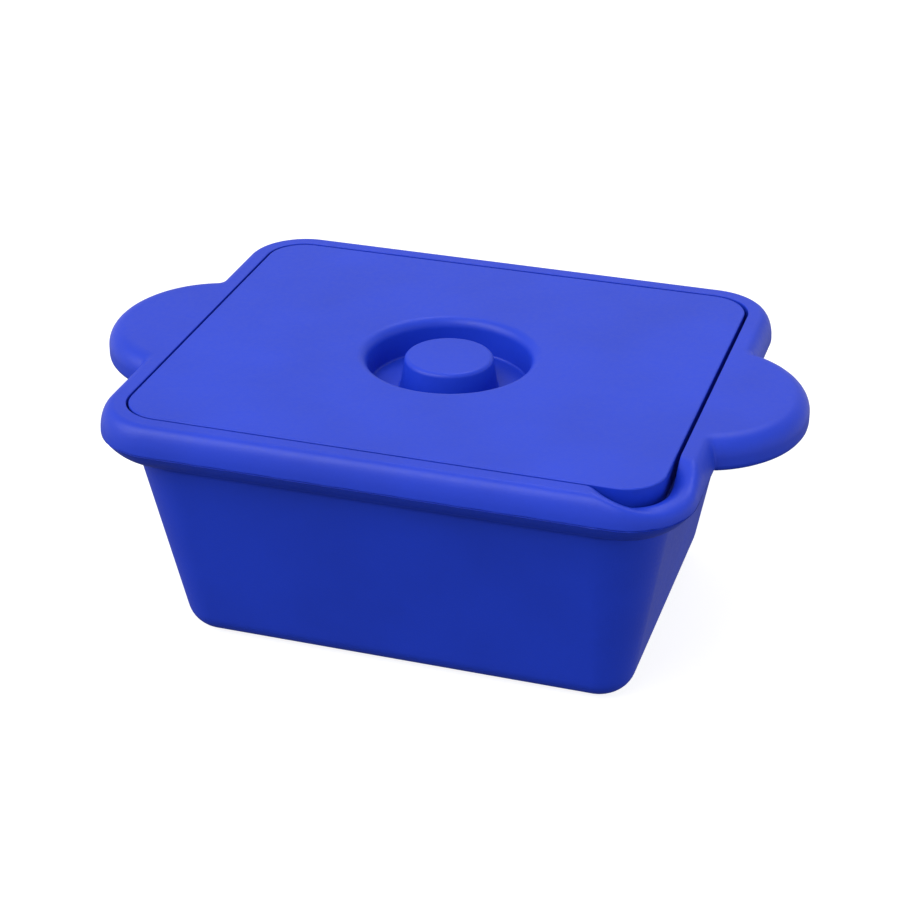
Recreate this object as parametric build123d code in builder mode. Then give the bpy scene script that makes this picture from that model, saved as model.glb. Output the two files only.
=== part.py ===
from build123d import *
import os

# Foam ice pan: a rectangular tub with a thick rolled rim, two half-round handles
# and a pouring notch in one corner, and a drop-in lid with a sunken grip.
# Frame: origin under the middle of the base, +X towards a handle, +Y across, +Z up.
# The pouring notch is at the corner where X is positive and Y is negative.

# --- driving dimensions, mm ---
height = 129.0
lid_length = 252.0
lid_width = 211.4
lid_corner = 18.8

# Lid pocket: the shallow seat inside the rim that the lid drops into.
pocket_gap = 1.0
pocket_depth = 16.0

# Rim section: reaches are outward from the lid's edge, depths are down from the top.
rim_reach = 13.75
rim_flat = 7.1
rim_inner = 12.0
rim_depth = 24.75
tuck_drop = 3.0
parting_depth = 13.0
wall_reach = 1.4
underside_bulge = 1.0
flash_reach = 0.4
flash_half_height = 0.45

# Outer wall: it ends inside the rim.
wall_top = 110.0
wall_top_length = 256.5
wall_top_width = 216.7
wall_top_corner = 31.5
base_length = 219.1
base_width = 160.2
base_corner = 15.4
base_rounding = 15.0

# Cavity.
ledge_width = 9.5
cavity_top_corner = 20.0
cavity_base_length = 203.6
cavity_base_width = 147.0
cavity_base_corner = 12.0
cavity_rounding = 9.0
floor_thickness = 12.5

# Handles: half ellipses that reach out of the rim, level with its top.
handle_centre = 122.7
handle_half_length = 50.2
handle_half_width = 53.5
handle_thickness = 16.0
handle_top_rounding = 9.0
handle_bottom_rounding = 3.2

# Pouring notch: a bowl-shaped dip in the rim at one corner. Its profile is level as far
# as the flat radius, then rises in an S to the outer radius, just above the rim's top.
notch_x = 119.7
notch_y = -94.5
notch_depth = 7.6
notch_flat_radius = 13.9
notch_outer_radius = 28.8
notch_lift = 0.2

# Lid plate and plug.
lid_shift = -0.4
plate_edge_rounding = 1.2
plug_depth = 14.0
plug_clearance = 2.0
plug_draft = 4.0
plug_corner = 18.0
plug_edge_rounding = 4.0

# Grip: a round recess with a knob standing in it.
recess_depth = 17.5
recess_radius = 39.5
recess_floor_radius = 39.2
recess_edge_rounding = 5.2
knob_radius = 21.2
knob_base_radius = 23.6
knob_drop = 1.1
knob_edge_rounding = 2.4

# --- places that follow from the sizes above ---
ledge = height - pocket_depth
rim_bottom = height - rim_depth
parting = height - parting_depth
rim_length = lid_length + 2 * rim_reach
rim_width = lid_width + 2 * rim_reach
pocket_length = lid_length + 2 * pocket_gap
pocket_width = lid_width + 2 * pocket_gap
cavity_top_length = pocket_length - 2 * ledge_width
cavity_top_width = pocket_width - 2 * ledge_width
rim_outer = rim_width / 2
rim_flat_end = rim_outer - rim_reach + rim_flat
wall_start = rim_outer - rim_reach + wall_reach
core_edge = rim_outer - rim_reach - rim_inner

os.makedirs("parts", exist_ok=True)

# One handle, standing at the origin; its inner half disappears into the rim.
with BuildPart() as handle:
    with BuildSketch(Plane.XY.offset(height - handle_thickness)):
        Ellipse(handle_half_length, handle_half_width)
    extrude(amount=handle_thickness)
    fillet(handle.edges().group_by(Axis.Z)[-1], handle_top_rounding)
    fillet(handle.edges().group_by(Axis.Z)[0], handle_bottom_rounding)

# The hollow below the ledge, tapered so that the tub leaves its mould.
with BuildPart() as cavity:
    with BuildSketch(Plane.XY.offset(floor_thickness)):
        RectangleRounded(cavity_base_length, cavity_base_width, cavity_base_corner)
    with BuildSketch(Plane.XY.offset(ledge)):
        RectangleRounded(cavity_top_length, cavity_top_width, cavity_top_corner)
    loft()
    fillet(cavity.edges().group_by(Axis.Z)[0], cavity_rounding)

# Rolled rim: one section carried round half of the outline, then mirrored. The small
# ridge half-way down is the flash where the two halves of the mould meet.
with BuildPart() as rim:
    with BuildLine(Plane.XY.offset(parting)) as rim_outline:
        FilletPolyline(
            (0, rim_width / 2),
            (rim_length / 2, rim_width / 2),
            (rim_length / 2, -rim_width / 2),
            (0, -rim_width / 2),
            radius=lid_corner + rim_reach,
        )
    with BuildSketch(Plane.YZ) as rim_section:
        with BuildLine():
            below_flash = (rim_outer, parting - flash_half_height)
            above_flash = (rim_outer, parting + flash_half_height)
            Polyline(
                (rim_flat_end, height),
                (core_edge, height),
                (core_edge, rim_bottom - tuck_drop),
                (wall_start, rim_bottom),
            )
            ThreePointArc(
                (wall_start, rim_bottom),
                (
                    (wall_start + rim_outer) / 2 + underside_bulge,
                    (rim_bottom + parting) / 2 - underside_bulge,
                ),
                below_flash,
            )
            Polyline(below_flash, (rim_outer + flash_reach, parting), above_flash)
            EllipticalCenterArc(
                (rim_flat_end, above_flash[1]),
                rim_outer - rim_flat_end,
                height - above_flash[1],
                start_angle=0,
                arc_size=90,
            )
        make_face()
    sweep(sections=rim_section.sketch, path=rim_outline.wire())
    mirror(about=Plane.YZ)

# The space of the pouring notch, about an upright axis through the bowl's middle.
with BuildPart() as notch:
    notch_ease = (notch_outer_radius - notch_flat_radius) / 3
    with BuildSketch(Plane.XZ):
        with BuildLine():
            Polyline((0, notch_depth), (0, -notch_depth), (notch_flat_radius, -notch_depth))
            Bezier(
                (notch_flat_radius, -notch_depth),
                (notch_flat_radius + notch_ease, -notch_depth),
                (notch_outer_radius - notch_ease, notch_lift),
                (notch_outer_radius, notch_lift),
            )
            Polyline(
                (notch_outer_radius, notch_lift),
                (notch_outer_radius, notch_depth),
                (0, notch_depth),
            )
        make_face()
    revolve(axis=Axis.Z)

with BuildPart() as tub:
    # Outer wall, from the base up into the rim.
    with BuildSketch(Plane.XY):
        RectangleRounded(base_length, base_width, base_corner)
    with BuildSketch(Plane.XY.offset(wall_top)):
        RectangleRounded(wall_top_length, wall_top_width, wall_top_corner)
    loft()
    fillet(tub.edges().group_by(Axis.Z)[0], base_rounding)
    add(rim.part)

    with Locations((handle_centre, 0, 0), (-handle_centre, 0, 0)):
        add(handle.part)

    # Pocket for the lid, then the cavity under it.
    with BuildSketch(Plane.XY.offset(ledge)):
        RectangleRounded(pocket_length, pocket_width, lid_corner + pocket_gap)
    extrude(amount=pocket_depth, mode=Mode.SUBTRACT)
    add(cavity.part, mode=Mode.SUBTRACT)

    with Locations((notch_x, notch_y, height)):
        add(notch.part, mode=Mode.SUBTRACT)

with BuildPart() as lid:
    # Plate that fills the pocket.
    with BuildSketch(Plane((lid_shift, 0, ledge))):
        RectangleRounded(lid_length, lid_width, lid_corner)
    extrude(amount=pocket_depth)
    fillet(lid.edges().group_by(Axis.Z)[-1], plate_edge_rounding)

    # Plug that reaches down into the cavity.
    plug_length = cavity_top_length - 2 * plug_clearance
    plug_width = cavity_top_width - 2 * plug_clearance
    with BuildSketch(Plane((lid_shift, 0, ledge - plug_depth))):
        RectangleRounded(plug_length - plug_draft, plug_width - plug_draft, plug_corner)
    with BuildSketch(Plane((lid_shift, 0, ledge))):
        RectangleRounded(plug_length, plug_width, plug_corner)
    loft()
    fillet(lid.edges().group_by(Axis.Z)[0], plug_edge_rounding)

    # Round recess for the fingers.
    with BuildSketch(Plane((lid_shift, 0, height - recess_depth))):
        Circle(recess_floor_radius)
    with BuildSketch(Plane((lid_shift, 0, height))):
        Circle(recess_radius)
    loft(mode=Mode.SUBTRACT)
    rings = lid.edges().filter_by(GeomType.CIRCLE).filter_by_position(Axis.Z, height, height)
    fillet(rings.sort_by(SortBy.RADIUS)[-1], recess_edge_rounding)

    # Knob standing in the recess.
    with BuildSketch(Plane((lid_shift, 0, height - recess_depth))):
        Circle(knob_base_radius)
    with BuildSketch(Plane((lid_shift, 0, height - knob_drop))):
        Circle(knob_radius)
    loft()
    knob_top = height - knob_drop
    knob_rings = lid.edges().filter_by_position(Axis.Z, knob_top, knob_top)
    fillet(knob_rings, knob_edge_rounding)

tub.part.label = "tub"
lid.part.label = "lid"
export_step(tub.part, "parts/tub.step")
export_step(lid.part, "parts/lid.step")
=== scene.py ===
import math
from collections import namedtuple

import bmesh
import bpy
from mathutils import Matrix, Vector


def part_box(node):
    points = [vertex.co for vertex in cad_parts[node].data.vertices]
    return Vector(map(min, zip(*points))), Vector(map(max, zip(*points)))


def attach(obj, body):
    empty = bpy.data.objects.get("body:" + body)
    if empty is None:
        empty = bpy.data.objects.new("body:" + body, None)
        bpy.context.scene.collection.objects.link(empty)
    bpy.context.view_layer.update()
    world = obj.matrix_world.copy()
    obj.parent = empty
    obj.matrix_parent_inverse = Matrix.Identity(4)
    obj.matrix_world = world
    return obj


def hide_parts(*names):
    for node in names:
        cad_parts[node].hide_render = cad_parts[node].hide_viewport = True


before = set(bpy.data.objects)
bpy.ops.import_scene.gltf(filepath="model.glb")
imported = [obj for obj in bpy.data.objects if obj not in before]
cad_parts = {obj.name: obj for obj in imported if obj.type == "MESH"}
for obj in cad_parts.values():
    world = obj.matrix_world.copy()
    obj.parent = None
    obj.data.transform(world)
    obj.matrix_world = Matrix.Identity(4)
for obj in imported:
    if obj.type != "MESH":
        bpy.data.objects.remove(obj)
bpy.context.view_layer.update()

# Foam ice pan with a drop-in lid. Each of the two CAD nodes is replaced by one moulding,
# made as rings of points that follow the pan's outline, row by row round its section.
# Sizes are in millimetres up to the point where a mesh is made.
MM = 0.001

# A rounded rectangle round the origin: half its length and width, and its corner radius.
Ring = namedtuple("Ring", "half_x half_y corner")

# --- sizes read from the frame ---
tub_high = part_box("tub")[1] / MM
lid_low, lid_high = [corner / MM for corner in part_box("lid")]
height = tub_high.z
handle_tip = tub_high.x
lid_half_x = (lid_high.x - lid_low.x) / 2
lid_half_y = (lid_high.y - lid_low.y) / 2
lid_x = (lid_high.x + lid_low.x) / 2
plug_bottom = lid_low.z

# --- driving sizes: the rim's section, measured outward from the lid's edge ---
flash_reach = 0.4
flash_half_height = 0.45
rim_reach = tub_high.y - lid_half_y - flash_reach
rim_flat = 7.1
parting_depth = 13.0
wall_reach = 1.4
rim_depth = 24.75
underside_bulge = 1.0

# The flash is uneven: how far it moves up and down, the share of its reach that comes and
# goes, and how far its wave turns, in radians for each millimetre along X and along Y.
flash_wobble = 0.16
flash_thinning = 0.2
flash_turn_x = 0.31
flash_turn_y = 0.27

# Lid pocket and its ledge.
lid_corner = 18.8
pocket_gap = 1.4
pocket_depth = 16.0
pocket_edge = 0.5
pocket_bevel = 0.5
ledge_width = 9.5
mouth_edge = 1.6

# Handles: half ellipses, with a small hollow fillet where they meet the rim. The power
# sets how much the lines across a handle's top crowd together at the pocket's edge.
handle_half_length = 50.2
handle_half_width = 53.5
handle_thickness = 16.0
handle_top_edge = 9.0
handle_bottom_edge = 3.2
handle_fillet = 1.4
anchor_power = 1.15

# Outer wall: its outline at the foot, and at its top, which is inside the rim.
wall_foot = Ring(109.55, 80.1, 15.4)
wall_head = Ring(128.25, 108.35, 31.5)
wall_top = 110.0
wall_foot_edge = 15.0

# Cavity, down to the top of the tub's floor.
cavity_foot = Ring(101.8, 73.5, 12.0)
cavity_corner = 20.0
cavity_foot_edge = 9.0
floor_thickness = 12.5

# Pouring notch: the drop of the rim's top, deepest inside the flat radius.
notch_x = 119.7
notch_y = -94.5
notch_flat_radius = 13.9
notch_outer_radius = 28.4
notch_inner_depth = 8.85
notch_crest_depth = 6.2
notch_margin = 2.0

# Grip in the lid.
recess_depth = 17.5
recess_radius = 39.5
recess_floor_radius = 39.2
recess_edge = 5.2
recess_floor_edge = 1.2
knob_radius = 21.2
knob_base_radius = 23.6
knob_drop = 1.1
knob_edge = 2.4
knob_flat_radius = 12.0
grip_margin = 9.0

# Lid plate, and the plug under it.
plate_edge = 0.8
plate_draft = 1.6
plate_bottom_edge = 0.6
plug_clearance = 2.0
plug_draft = 2.0
plug_corner = 18.0
plug_edge = 4.0
plug_fillet = 0.6

# Rows: the heights of those on the long drafted faces, how far from a flat's edge its
# inner row lies, and the steps in which a small edge and the rim's arc are divided.
cavity_heights = (35.0, 60.0, 85.0, 100.0, 108.0, 110.5)
wall_heights = (103.2, 102.2, 99.0, 92.0, 80.0, 62.0, 44.0, 28.0, 18.0)
flat_margin = 4.0
plate_under_margin = 1.0
plate_top_margin = 1.5
edge_steps = 8
arc_steps = 200

# --- places that follow ---
ledge = height - pocket_depth
parting = height - parting_depth
rim_bottom = height - rim_depth
handle_underside = height - handle_thickness
handle_centre = handle_tip - handle_half_length
rim_x = lid_half_x + rim_reach
straight_x = lid_half_x - lid_corner
straight_y = lid_half_y - lid_corner
cavity_top = Ring(
    lid_half_x + pocket_gap - ledge_width,
    lid_half_y + pocket_gap - ledge_width,
    cavity_corner,
)
plug_top = Ring(
    cavity_top.half_x - plug_clearance,
    cavity_top.half_y - plug_clearance,
    plug_corner,
)
plug_foot = Ring(plug_top.half_x - plug_draft, plug_top.half_y - plug_draft, plug_corner)


class Tapered:
    """A rounded rectangle that grows from its foot to its top, with a rounded foot."""

    def __init__(self, foot, top, foot_z, top_z, edge):
        self.foot, self.top = foot, top
        self.foot_z, self.top_z, self.edge = foot_z, top_z, edge

    def ring(self, z):
        """The outline at a height, drawn in where that is within the foot's rounding."""
        part = (z - self.foot_z) / (self.top_z - self.foot_z)
        sides = []
        insets = []
        for foot, top in zip(self.foot[:2], self.top[:2]):
            side = foot + (top - foot) * part
            draft = math.atan((top - foot) / (self.top_z - self.foot_z))
            rise = z - self.foot_z
            inset = 0.0
            if rise < self.edge * (1 - math.sin(draft)):
                tangent = self.edge * math.tan((math.pi / 2 - draft) / 2)
                turned = math.acos(1 - rise / self.edge)
                inset = side - (foot - tangent + self.edge * math.sin(turned))
            sides.append(side - inset)
            insets.append(inset)
        corner = self.foot.corner + (self.top.corner - self.foot.corner) * part
        return Ring(*sides, corner - sum(insets) / 2)

    def foot_rows(self, count):
        """Heights of the rows round the foot's edge, from the foot up."""
        # The rounding stops short of a right angle, since the wall leans outward.
        end = math.radians(80)
        turns = [end * k / count for k in range(count + 1)]
        return [self.foot_z + self.edge * (1 - math.cos(turn)) for turn in turns]


outer_wall = Tapered(wall_foot, wall_head, 0.0, wall_top, wall_foot_edge)
cavity = Tapered(cavity_foot, cavity_top, floor_thickness, ledge, cavity_foot_edge)
plug = Tapered(plug_foot, plug_top, plug_bottom, ledge, plug_edge)

# --- stations: where the lines that run down the section stand round the outline ---
# A station's point on a ring is (across_x * straight x, across_y * straight y) plus the
# ring's corner radius along its outward normal. A station on a handle also has its place
# on the handle's outline, the outline's normal there, and how far it is handle, not rim.
Station = namedtuple("Station", "across_x across_y normal place outward weight")


def rim_station(across_x, across_y, normal):
    return Station(across_x, across_y, Vector(normal), None, None, 0.0)


def steps(start, end, count):
    """Evenly spaced values from start up to, but not including, end."""
    return [start + (end - start) * k / count for k in range(count)]


def corner_stations(side_x, side_y, first_angle, count):
    stations = []
    for angle in steps(first_angle, first_angle + 90, count)[1:]:
        normal = (math.cos(math.radians(angle)), math.sin(math.radians(angle)))
        stations.append(rim_station(side_x, side_y, normal))
    return stations


def ellipse_point(angle):
    """A point of the handle's ellipse and its outward normal."""
    along, across = math.cos(angle), math.sin(angle)
    point = Vector((handle_centre + handle_half_length * along, handle_half_width * across))
    normal = Vector((along / handle_half_length, across / handle_half_width))
    return point, normal.normalized()


def fillet_angle():
    """The ellipse's angle at which the fillet between handle and rim ends."""
    low, high = 0.0, math.pi / 2
    halvings = 60
    for _ in range(halvings):
        middle = (low + high) / 2
        point, normal = ellipse_point(middle)
        if point.x + handle_fillet * normal.x > rim_x + handle_fillet:
            low = middle
        else:
            high = middle
    return low


def mixed(rim_value, handle_value, weight):
    """A value on the rim, on a handle, or between the two in the fillet."""
    return rim_value + (handle_value - rim_value) * weight


def ease(value):
    """A smooth step from 0 to 1."""
    value = min(max(value, 0.0), 1.0)
    return value * value * (3 - 2 * value)


def handle_stations(fillet_count=8, ellipse_count=72):
    """The +X handle's stations, from -Y to +Y."""
    end = fillet_angle()
    end_point, end_normal = ellipse_point(end)
    centre = end_point + end_normal * handle_fillet
    swept = math.atan2(end_normal.y, end_normal.x)
    upper = []
    for k in range(ellipse_count // 2 + 1):
        point, normal = ellipse_point(end * 2 * k / ellipse_count)
        upper.append((point, normal, 1.0))
    for k in range(1, fillet_count + 1):
        turn = swept * (1 - k / fillet_count)
        normal = Vector((math.cos(turn), math.sin(turn)))
        upper.append((centre - normal * handle_fillet, normal, ease(1 - k / fillet_count)))
    lower = [(Vector((p.x, -p.y)), Vector((n.x, -n.y)), w) for p, n, w in upper[:0:-1]]
    outline = lower + upper
    # Each line across the top starts at an anchor on the pocket's edge. Anchors are spaced
    # by the angle at which the middle of that edge sees the line's outer end.
    angles = []
    for place, outward, weight in outline:
        flat_end = place - outward * mixed(rim_reach - rim_flat, handle_top_edge, weight)
        angles.append(math.atan2(flat_end.y, flat_end.x - lid_half_x - pocket_gap))
    stations = []
    for (place, outward, weight), angle in zip(outline, angles):
        part = abs(angle) / angles[-1]
        anchor_y = math.copysign(centre.y * part**anchor_power, angle)
        stations.append(
            Station(1.0, anchor_y / straight_y, Vector((1.0, 0.0)), place, outward, weight)
        )
    return stations, centre.y


def mirrored(stations):
    """The same stations on the -X side, in the order that keeps the outline's direction."""
    flip = []
    for s in reversed(stations):
        flip.append(
            Station(
                -s.across_x,
                s.across_y,
                Vector((-s.normal.x, s.normal.y)),
                Vector((-s.place.x, s.place.y)),
                Vector((-s.outward.x, s.outward.y)),
                s.weight,
            )
        )
    return flip


def tub_stations():
    """Anticlockwise, closer together at the corners, the notch and the handles."""
    handle, handle_end = handle_stations()
    joint = handle_end / straight_y
    notch_start_y = (notch_y + notch_outer_radius + notch_margin) / straight_y
    notch_start_x = (notch_x - notch_outer_radius - notch_margin) / straight_x
    right = (1.0, 0.0)
    left = (-1.0, 0.0)
    stations = [rim_station(1, y, right) for y in steps(-1, notch_start_y, 18)]
    stations += [rim_station(1, y, right) for y in steps(notch_start_y, -joint, 6)]
    stations += handle[:-1]
    stations += [rim_station(1, y, right) for y in steps(joint, 1, 9)]
    stations += [rim_station(1, 1, right)]
    stations += corner_stations(1, 1, 0, 24)
    stations += [rim_station(x, 1, (0.0, 1.0)) for x in steps(1, -1, 36)]
    stations += [rim_station(-1, 1, (0.0, 1.0))]
    stations += corner_stations(-1, 1, 90, 24)
    stations += [rim_station(-1, y, left) for y in steps(1, joint, 9)]
    stations += mirrored(handle)[:-1]
    stations += [rim_station(-1, y, left) for y in steps(-joint, -1, 9)]
    stations += [rim_station(-1, -1, left)]
    stations += corner_stations(-1, -1, 180, 24)
    stations += [rim_station(x, -1, (0.0, -1.0)) for x in steps(-1, notch_start_x, 32)]
    stations += [rim_station(x, -1, (0.0, -1.0)) for x in steps(notch_start_x, 1, 14)]
    stations += [rim_station(1, -1, (0.0, -1.0))]
    stations += corner_stations(1, -1, 270, 40)
    return stations


def lid_stations():
    stations = []
    sides = ((1, 0, 26), (0, 1, 32), (-1, 0, 26), (0, -1, 32))
    for k, (side_x, side_y, count) in enumerate(sides):
        turn = -1 if side_x + side_y < 0 else 1
        for along in steps(-1, 1, count):
            across_x = side_x if side_x else -turn * along
            across_y = side_y if side_y else turn * along
            stations.append(rim_station(across_x, across_y, (side_x, side_y)))
        corner_x, corner_y = ((1, 1), (-1, 1), (-1, -1), (1, -1))[k]
        stations.append(rim_station(corner_x, corner_y, (side_x, side_y)))
        stations += corner_stations(corner_x, corner_y, 90 * k, 24)
    return stations


def on_ring(station, ring, z, shift=0.0):
    x = station.across_x * (ring.half_x - ring.corner) + station.normal.x * ring.corner
    y = station.across_y * (ring.half_y - ring.corner) + station.normal.y * ring.corner
    return Vector((x + shift, y, z))


def on_rim(station, reach, z):
    """The point at a reach outward from the lid's edge."""
    return on_ring(station, Ring(lid_half_x + reach, lid_half_y + reach, lid_corner + reach), z)


# --- tub ---
def notch_drop(point, depth):
    """How far the notch lowers a point of the rim's top, where it is depth deep inside."""
    away = math.hypot(point.x - notch_x, point.y - notch_y)
    inside = 1 - ease((away - notch_flat_radius) / (notch_outer_radius - notch_flat_radius))
    return depth * inside


def lip_depth(reach):
    """The notch's depth between the pocket and the start of the rim's outer rounding."""
    part = min(max((reach - pocket_gap) / (rim_flat - pocket_gap), 0.0), 1.0)
    rise = notch_inner_depth - notch_crest_depth
    return notch_inner_depth - rise * math.sin(part * math.pi / 2)


def pocket_rows(stations):
    """Up the pocket's wall and over its edge."""
    rows = []
    top = height - pocket_edge
    for part in (0.03, 0.35, 0.7):
        row = []
        for s in stations:
            point = on_rim(s, pocket_gap, 0.0)
            point.z = ledge + (top - notch_drop(point, notch_inner_depth) - ledge) * part
            row.append(point)
        rows.append(row)
    for angle in (0, 22.5, 45, 67.5):
        turn = math.radians(angle)
        reach = pocket_gap + pocket_edge * (1 - math.cos(turn))
        z = top + pocket_edge * math.sin(turn)
        row = []
        for s in stations:
            point = on_rim(s, reach, z)
            point.z -= notch_drop(point, lip_depth(reach))
            row.append(point)
        rows.append(row)
    return rows


def edge_point(station, rim_inset, handle_inset, rim_z, handle_z):
    """A point near the outer edge: the rim's section, the handle's, or a mix of both."""
    if station.place is None:
        return on_rim(station, rim_reach - rim_inset, rim_z)
    inset = mixed(rim_inset, handle_inset, station.weight)
    plan = station.place - station.outward * inset
    return Vector((plan.x, plan.y, mixed(rim_z, handle_z, station.weight)))


def top_rows(stations):
    """The flat top and the rounding down to the parting line."""
    inner = [on_rim(s, pocket_gap + pocket_edge, height) for s in stations]
    edge_width = rim_reach - rim_flat
    edge_drop = parting_depth - flash_half_height
    rounding = []
    for angle in range(0, 91, 9):
        turn = math.radians(angle)
        lean, drop = 1 - math.sin(turn), 1 - math.cos(turn)
        row = []
        for s in stations:
            point = edge_point(
                s,
                edge_width * lean,
                handle_top_edge * lean,
                height - edge_drop * drop,
                height - handle_top_edge * drop,
            )
            point.z -= notch_drop(point, notch_crest_depth * math.cos(turn))
            row.append(point)
        rounding.append(row)
    flat = []
    for part in (0.0, 0.06, 0.25, 0.5, 0.75, 0.94):
        reach = pocket_gap + pocket_edge + (rim_flat - pocket_gap - pocket_edge) * part
        row = []
        for k, start in enumerate(inner):
            end = rounding[0][k]
            point = Vector((*start.lerp(end, part).xy, height))
            point.z -= notch_drop(point, lip_depth(reach))
            row.append(point)
        flat.append(row)
    return flat + rounding


def arc_through(start, middle, end, count):
    """Points of the arc through three points of a section, the ends included."""
    chord_a, chord_b = middle - start, end - middle
    mid_a, mid_b = (start + middle) / 2, (middle + end) / 2
    cross = chord_a.x * chord_b.y - chord_a.y * chord_b.x
    along = ((mid_b - mid_a).dot(chord_b)) / cross
    centre = mid_a + Vector((-chord_a.y, chord_a.x)) * along
    first = math.atan2(start.y - centre.y, start.x - centre.x)
    last = math.atan2(end.y - centre.y, end.x - centre.x)
    radius = (start - centre).length
    points = []
    for k in range(count + 1):
        angle = first + (last - first) * k / count
        points.append(centre + Vector((math.cos(angle), math.sin(angle))) * radius)
    return points


def flash_wave(point):
    """The flash's uneven height along the rim, between -1 and 1."""
    place = point.x * flash_turn_x + point.y * flash_turn_y
    return 0.6 * math.sin(place) + 0.4 * math.sin(place * 2.3 + 1.0)


def flash_rows(stations):
    """The flash round the rim, and the edge of the handles beside it."""
    # Each row's reach in flash reaches, which is negative in the groove under the flash,
    # its height above the parting line, its wobble, and its drop on a handle.
    ridge = (
        (0.1, 0.12, flash_wobble, 11.5),
        (0.0, -0.02, flash_wobble, 12.0),
        (-2.2, -0.1, flash_wobble, 12.3),
        (-2.3, -0.45, 0.0, 12.5),
        (-0.3, -0.8, 0.0, handle_thickness - handle_bottom_edge),
    )
    rows = []
    for reach, rise, wobble, handle_drop in ridge:
        row = []
        for s in stations:
            wave = flash_wave(on_rim(s, rim_reach, 0.0))
            inset = -flash_reach * reach * (1 - flash_thinning + flash_thinning * wave)
            z = parting + rise + wobble * wave
            row.append(edge_point(s, inset, 0.0, z, height - handle_drop))
        rows.append(row)
    return rows


def under_rows(stations):
    """The rim's lower half and the underside of the handles."""
    start = Vector((rim_reach, parting - flash_half_height))
    end = Vector((wall_reach, rim_bottom))
    middle = Vector(
        (
            (wall_reach + rim_reach) / 2 + underside_bulge,
            (rim_bottom + parting) / 2 - underside_bulge,
        )
    )
    fine = arc_through(start, middle, end, arc_steps)
    meets = min(range(len(fine)), key=lambda k: abs(fine[k].y - handle_underside))
    round_count, run_count, lower_count = 4, 6, 7
    rows = []
    for k in range(1, round_count + run_count + 1):
        on_arc = fine[round(meets * k / (round_count + run_count))]
        row = []
        for s in stations:
            point = on_rim(s, on_arc.x, on_arc.y)
            if s.place is not None:
                inner = on_rim(s, fine[meets].x, handle_underside)
                turn = math.pi / 2 * min(k / round_count, 1.0)
                inset = handle_bottom_edge * (1 - math.cos(turn))
                plan = s.place - s.outward * inset
                z = handle_underside + handle_bottom_edge * (1 - math.sin(turn))
                below = Vector((plan.x, plan.y, z))
                if k > round_count:
                    below = below.lerp(inner, (k - round_count) / run_count)
                point = point.lerp(below, s.weight)
            row.append(point)
        rows.append(row)
    for k in range(1, lower_count):
        on_arc = fine[meets + round((len(fine) - 1 - meets) * k / lower_count)]
        rows.append([on_rim(s, on_arc.x, on_arc.y) for s in stations])
    return rows


def ring_rows(stations, tapered, heights, shift=0.0):
    return [[on_ring(s, tapered.ring(z), z, shift) for s in stations] for z in heights]


def flat_row(stations, ring, inset, z, shift=0.0):
    """A row inside a ring, or outside it where the inset is negative."""
    smaller = Ring(ring.half_x - inset, ring.half_y - inset, max(ring.corner - inset, 1.0))
    return [on_ring(s, smaller, z, shift) for s in stations]


def cavity_rows(stations):
    """From the middle of the cavity's floor up to the ledge and across it."""
    feet = cavity.foot_rows(10)
    floor_ring = cavity.ring(feet[0])
    rows = [flat_row(stations, floor_ring, flat_margin, cavity.foot_z)]
    rows += ring_rows(stations, cavity, feet)
    rows += ring_rows(stations, cavity, cavity_heights)
    for angle in range(0, 91, 18):
        turn = math.radians(angle)
        z = ledge - mouth_edge * (1 - math.sin(turn))
        ring = cavity.ring(min(z, ledge))
        rows.append(flat_row(stations, ring, -mouth_edge * (1 - math.cos(turn)), z))
    inside = rows[-1]
    outside = [on_rim(s, pocket_gap - pocket_bevel, ledge) for s in stations]
    for part in (0.15, 0.85):
        rows.append([a.lerp(b, part) for a, b in zip(inside, outside)])
    rows.append(outside)
    return rows


def wall_rows(stations):
    """Down the outer wall from the rim, round the foot and under the base."""
    feet = outer_wall.foot_rows(12)
    rows = ring_rows(stations, outer_wall, wall_heights)
    rows += ring_rows(stations, outer_wall, reversed(feet))
    rows.append(flat_row(stations, outer_wall.ring(feet[0]), flat_margin, 0.0))
    return rows


# --- lid ---
def rounded_profile(points, edges, count):
    """A section through the points, with each inner corner rounded by its edge radius."""
    profile = [points[0]]
    for before, corner, after, edge in zip(points, points[1:], points[2:], edges):
        back = (before - corner).normalized()
        on = (after - corner).normalized()
        half = back.angle(on) / 2
        reach = edge / math.tan(half)
        centre = corner + (back + on).normalized() * (edge / math.sin(half))
        first = corner + back * reach - centre
        last = corner + on * reach - centre
        whole = first.angle_signed(last)
        for k in range(count + 1):
            turn = -whole * k / count
            swung = Vector(
                (
                    first.x * math.cos(turn) - first.y * math.sin(turn),
                    first.x * math.sin(turn) + first.y * math.cos(turn),
                )
            )
            profile.append(centre + swung)
    profile.append(points[-1])
    return profile


def circle_row(count, radius, z):
    """A ring round the grip, which starts level with the +X, -Y end of the lid's side."""
    first = -math.atan2(straight_y, lid_half_x)
    row = []
    for k in range(count):
        angle = first + 2 * math.pi * k / count
        row.append(Vector((lid_x + radius * math.cos(angle), radius * math.sin(angle), z)))
    return row


def plug_rows(stations):
    """From the middle of the plug's bottom up to the plate."""
    feet = plug.foot_rows(6)
    rows = [flat_row(stations, plug.ring(feet[0]), flat_margin, plug_bottom, lid_x)]
    rows += ring_rows(stations, plug, feet, lid_x)
    rows += ring_rows(stations, plug, (ledge - flat_margin, ledge - plug_fillet), lid_x)
    rows.append(flat_row(stations, plug_top, -plug_fillet, ledge, lid_x))
    return rows


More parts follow.
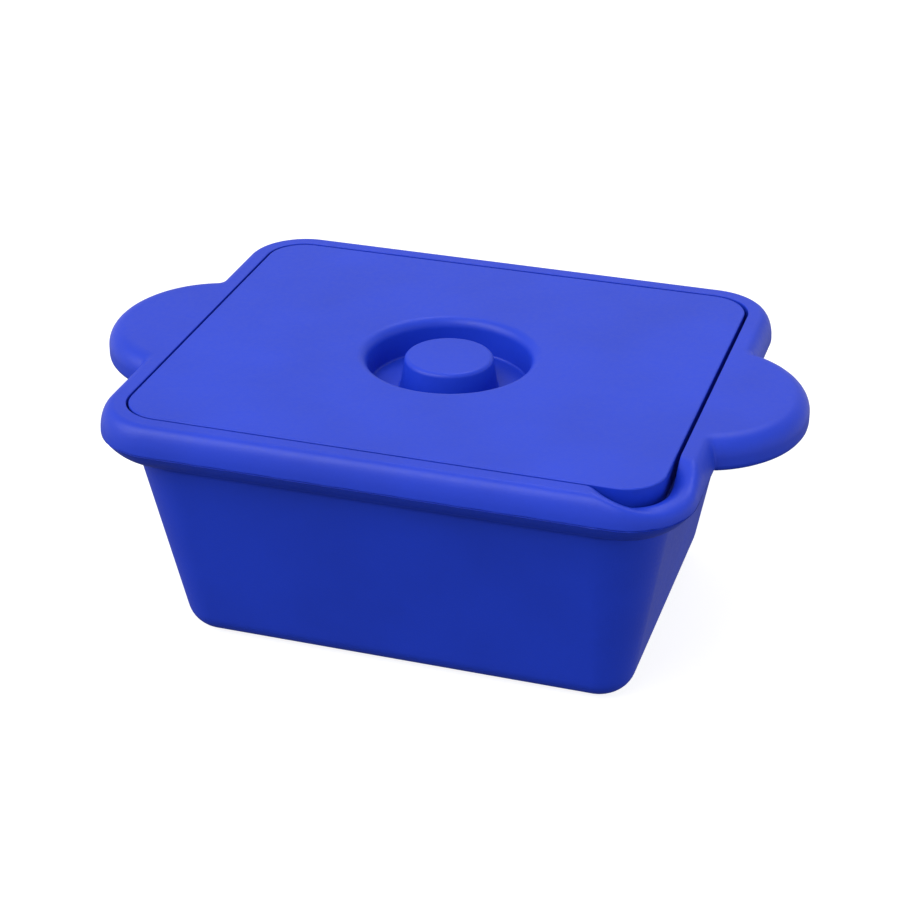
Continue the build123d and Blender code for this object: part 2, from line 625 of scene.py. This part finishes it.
def plate_rows(stations):
    """Across the plate's underside, up its drafted side and over its top edge."""
    plate = Ring(lid_half_x, lid_half_y, lid_corner)
    under_inset = plate_draft + plate_bottom_edge + plate_under_margin
    rows = [flat_row(stations, plate, under_inset, ledge, lid_x)]
    for angle in range(0, 91, 30):
        turn = math.radians(angle)
        inset = plate_draft + plate_bottom_edge * (1 - math.sin(turn))
        z = ledge + plate_bottom_edge * (1 - math.cos(turn))
        rows.append(flat_row(stations, plate, inset, z, lid_x))
    rows.append(flat_row(stations, plate, plate_draft / 2, ledge + pocket_depth / 2, lid_x))
    for angle in range(0, 91, 15):
        turn = math.radians(angle)
        inset = plate_edge * (1 - math.cos(turn))
        z = height - plate_edge * (1 - math.sin(turn))
        rows.append(flat_row(stations, plate, inset, z, lid_x))
    rows.append(flat_row(stations, plate, plate_edge + plate_top_margin, height, lid_x))
    return rows


def grip_rows(outer):
    """Across the plate's top from its outer row, into the recess and over the knob."""
    floor = height - recess_depth
    knob_top = height - knob_drop
    profile = rounded_profile(
        [
            Vector((recess_radius + grip_margin, height)),
            Vector((recess_radius, height)),
            Vector((recess_floor_radius, floor)),
            Vector((knob_base_radius, floor)),
            Vector((knob_radius, knob_top)),
            Vector((knob_flat_radius, knob_top)),
        ],
        (recess_edge, recess_floor_edge, recess_floor_edge, knob_edge),
        edge_steps,
    )
    count = len(outer)
    grip_edge = circle_row(count, profile[0].x, height)
    rows = []
    for part in (0.12, 0.35, 0.6, 0.85):
        rows.append([a.lerp(b, part) for a, b in zip(outer, grip_edge)])
    rows += [circle_row(count, p.x, p.y) for p in profile]
    return rows


# --- meshes ---
def shell(name, rows):
    """A closed mesh through rows of points, with its first and last rows filled in."""
    mesh = bpy.data.meshes.new(name)
    made = bmesh.new()
    grid = [[made.verts.new(point * MM) for point in row] for row in rows]
    count = len(rows[0])
    for lower, upper in zip(grid, grid[1:]):
        for k in range(count):
            after = (k + 1) % count
            made.faces.new((lower[k], lower[after], upper[after], upper[k]))
    made.faces.new(list(reversed(grid[0])))
    made.faces.new(grid[-1])
    bmesh.ops.recalc_face_normals(made, faces=made.faces)
    made.to_mesh(mesh)
    made.free()
    mesh.shade_smooth()
    piece = bpy.data.objects.new(name, mesh)
    bpy.context.scene.collection.objects.link(piece)
    # Large faces lead, so that flats and long walls shade flat up to their roundings.
    weighted = piece.modifiers.new("weighted_normals", "WEIGHTED_NORMAL")
    weighted.weight = 80
    return piece


# --- material: the skin of moulded closed-cell foam ---
tub_colour = (0.0095, 0.041, 0.53)
lid_colour = (0.0095, 0.043, 0.54)
foam_roughness = 0.45
roughness_spread = 0.04

# Sizes of the skin's patterns, and how deep the relief is.
cloud_size = 55.0
mottle_size = 2.2
cell_size = 0.7
cell_depth = 0.09
wave_size = 16.0
wave_depth = 0.4


def foam_skin(name, colour):
    material = bpy.data.materials.new(name)
    material.use_nodes = True
    nodes, links = material.node_tree.nodes, material.node_tree.links
    skin = nodes["Principled BSDF"]
    skin.inputs["Specular IOR Level"].default_value = 0.34
    place = nodes.new("ShaderNodeTexCoord")

    def noise(size_mm, detail):
        node = nodes.new("ShaderNodeTexNoise")
        node.inputs["Scale"].default_value = 1 / (size_mm * MM)
        node.inputs["Detail"].default_value = detail
        links.new(place.outputs["Object"], node.inputs["Vector"])
        return node

    def ramp(source, low, high):
        node = nodes.new("ShaderNodeMapRange")
        node.inputs["From Min"].default_value = 0.3
        node.inputs["From Max"].default_value = 0.7
        node.inputs["To Min"].default_value = low
        node.inputs["To Max"].default_value = high
        links.new(source, node.inputs["Value"])
        return node.outputs["Result"]

    # Colour: broad clouds, with finer mottling where the skin is thinner.
    clouds = noise(cloud_size, 2.0)
    mottle = noise(mottle_size, 3.0)
    both = nodes.new("ShaderNodeMath")
    both.operation = "MULTIPLY"
    links.new(ramp(clouds.outputs["Fac"], 0.94, 1.06), both.inputs[0])
    links.new(ramp(mottle.outputs["Fac"], 0.98, 1.02), both.inputs[1])
    tint = nodes.new("ShaderNodeHueSaturation")
    tint.inputs["Color"].default_value = (*colour, 1.0)
    links.new(both.outputs["Value"], tint.inputs["Value"])
    links.new(tint.outputs["Color"], skin.inputs["Base Color"])

    # Roughness follows the mottling.
    smooth, rough = foam_roughness - roughness_spread, foam_roughness + roughness_spread
    links.new(ramp(mottle.outputs["Fac"], smooth, rough), skin.inputs["Roughness"])

    # Relief: burst cells under the skin, and a slow waviness from the mould.
    cells = nodes.new("ShaderNodeTexVoronoi")
    cells.feature = "SMOOTH_F1"
    cells.inputs["Scale"].default_value = 1 / (cell_size * MM)
    links.new(place.outputs["Object"], cells.inputs["Vector"])
    pebble = nodes.new("ShaderNodeBump")
    pebble.inputs["Strength"].default_value = 0.4
    pebble.inputs["Distance"].default_value = cell_depth * MM
    links.new(cells.outputs["Distance"], pebble.inputs["Height"])
    waves = nodes.new("ShaderNodeBump")
    waves.inputs["Strength"].default_value = 0.35
    waves.inputs["Distance"].default_value = wave_depth * MM
    links.new(noise(wave_size, 1.0).outputs["Fac"], waves.inputs["Height"])
    links.new(waves.outputs["Normal"], pebble.inputs["Normal"])
    links.new(pebble.outputs["Normal"], skin.inputs["Normal"])
    return material


def add_piece(name, rows, node, body, material):
    piece = shell(name, rows)
    piece.data.materials.append(material)
    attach(piece, body)
    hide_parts(node)


def make_tub():
    stations = tub_stations()
    rows = cavity_rows(stations) + pocket_rows(stations) + top_rows(stations)
    rows += flash_rows(stations) + under_rows(stations) + wall_rows(stations)
    skin = foam_skin("tub_skin", tub_colour)
    add_piece("tub_moulding", rows, "tub", "tub", skin)


def make_lid():
    stations = lid_stations()
    rows = plug_rows(stations) + plate_rows(stations)
    rows += grip_rows(rows[-1])
    skin = foam_skin("lid_skin", lid_colour)
    add_piece("lid_moulding", rows, "lid", "lid", skin)


# --- studio ---
def make_floor():
    half_metres = 14.0
    grey = 0.3
    glow = 0.86
    mesh = bpy.data.meshes.new("floor")
    signs = ((-1, -1), (1, -1), (1, 1), (-1, 1))
    corners = [(x * half_metres, y * half_metres, 0.0) for x, y in signs]
    mesh.from_pydata(corners, [], [(0, 1, 2, 3)])
    floor = bpy.data.objects.new("floor", mesh)
    bpy.context.scene.collection.objects.link(floor)
    material = bpy.data.materials.new("floor_white")
    material.use_nodes = True
    paint = material.node_tree.nodes["Principled BSDF"]
    paint.inputs["Base Color"].default_value = (grey, grey, grey, 1.0)
    paint.inputs["Emission Color"].default_value = (1.0, 1.0, 1.0, 1.0)
    paint.inputs["Emission Strength"].default_value = glow
    paint.inputs["Roughness"].default_value = 0.9
    paint.inputs["Specular IOR Level"].default_value = 0.1
    mesh.materials.append(material)
    # The floor glows so that it stays white in view. It neither lights the object nor keeps
    # the world's light from reaching it from below, where the world stands for the bounce.
    floor.visible_diffuse = False
    floor.visible_glossy = False
    floor.visible_shadow = False


def add_sun(name, azimuth, elevation, strength, spread):
    """A soft distant light, in degrees. Azimuth 0 comes from -Y, and 90 from +X."""
    light = bpy.data.lights.new(name, "SUN")
    light.energy = strength
    light.angle = math.radians(spread)
    lamp = bpy.data.objects.new(name, light)
    turn, tilt = math.radians(azimuth), math.radians(elevation)
    towards = Vector(
        (math.sin(turn) * math.cos(tilt), -math.cos(turn) * math.cos(tilt), math.sin(tilt))
    )
    lamp.rotation_euler = towards.to_track_quat("Z", "Y").to_euler()
    bpy.context.scene.collection.objects.link(lamp)
    return lamp


def make_lights():
    world = bpy.data.worlds.new("studio")
    world.use_nodes = True
    nodes, links = world.node_tree.nodes, world.node_tree.links
    direction = nodes.new("ShaderNodeTexCoord")
    split = nodes.new("ShaderNodeSeparateXYZ")
    links.new(direction.outputs["Generated"], split.inputs["Vector"])
    rise = nodes.new("ShaderNodeMapRange")
    rise.inputs["From Min"].default_value = -1.0
    links.new(split.outputs["Z"], rise.inputs["Value"])
    # Brightness from straight down, at 0, to straight up, at 1: the table's bounce is
    # strongest a little below the horizon, and the object shades what lies under it.
    room = nodes.new("ShaderNodeValToRGB")
    levels = ((0.0, 0.05), (0.28, 0.24), (0.40, 0.84), (0.55, 0.58), (1.0, 0.53))
    room.color_ramp.interpolation = "EASE"
    while len(room.color_ramp.elements) < len(levels):
        room.color_ramp.elements.new(0.5)
    for stop, (place, level) in zip(room.color_ramp.elements, levels):
        stop.position = place
        stop.color = (level, level, level, 1.0)
    links.new(rise.outputs["Result"], room.inputs["Fac"])
    links.new(room.outputs["Color"], nodes["Background"].inputs["Color"])
    bpy.context.scene.world = world
    add_sun("key", -25.0, 52.0, 1.25, 34.0)
    add_sun("left_box", -60.0, 32.0, 1.15, 40.0)
    add_sun("back_box", 180.0, 60.0, 0.66, 30.0)
    # The light from the right brightens the end wall, with no highlight of its own.
    add_sun("right_box", 90.0, 15.0, 0.6, 30.0).visible_glossy = False


def make_camera():
    """The photo's view, aimed from the middle of the lid's top. Angles are in radians."""
    azimuth, elevation, roll = 0.301, 0.486, 0.005
    aim_right, aim_up, distance = 0.4, -46.2, 1099.6
    focal_length, sensor_width = 91.94, 36.0
    back = Vector(
        (
            math.sin(azimuth) * math.cos(elevation),
            -math.cos(azimuth) * math.cos(elevation),
            math.sin(elevation),
        )
    )
    level = Vector((math.cos(azimuth), math.sin(azimuth), 0.0))
    upright = back.cross(level)
    right = level * math.cos(roll) + upright * math.sin(roll)
    up = upright * math.cos(roll) - level * math.sin(roll)
    place = Vector((lid_x, 0.0, height)) + right * aim_right + up * aim_up + back * distance
    lens = bpy.data.cameras.new("camera")
    lens.lens = focal_length
    lens.sensor_width = sensor_width
    camera = bpy.data.objects.new("camera", lens)
    turned = Matrix((right, up, back)).transposed().to_4x4()
    camera.matrix_world = Matrix.Translation(place * MM) @ turned
    bpy.context.scene.collection.objects.link(camera)
    bpy.context.scene.camera = camera


make_tub()
make_lid()
make_floor()
make_lights()
make_camera()
bpy.context.scene.view_settings.view_transform = "Standard"
